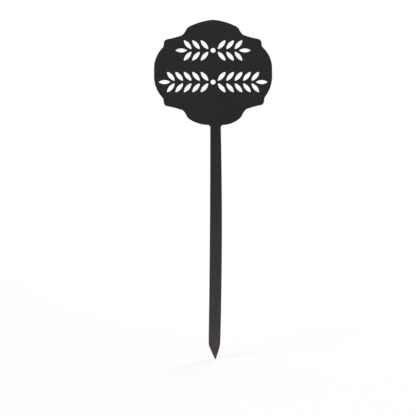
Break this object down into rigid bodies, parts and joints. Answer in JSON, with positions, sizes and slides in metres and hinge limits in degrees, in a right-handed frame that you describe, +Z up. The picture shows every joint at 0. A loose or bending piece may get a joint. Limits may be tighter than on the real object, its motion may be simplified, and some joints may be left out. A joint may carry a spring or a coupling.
{
  "type": "plant label stake",
  "caption": "Flat metal plant label with stencil-cut sprigs, welded on a long flat strip with a point that is pushed into the soil.",
  "frame": {"origin": "the tip of the strip's point, in the middle of the sheet's thickness", "axes": "+Z up along the stake, -Y towards the front of the label, +X to the right seen from the front"},
  "size_m": [0.0884, 0.0027, 0.2539],
  "materials": {
    "plate_coat": "matt black powder coat on sheet steel",
    "strip_coat": "matt black powder coat, lightly rubbed towards the point",
    "weld_coat": "matt black powder coat over weld metal"
  },
  "bodies": {
    "root": {"sign_plate": "plate_coat", "stake_strip": "strip_coat", "weld_fillet_left": "weld_coat", "weld_fillet_right": "weld_coat", "weld_bead_back": "weld_coat"}
  },
  "joints": []
}
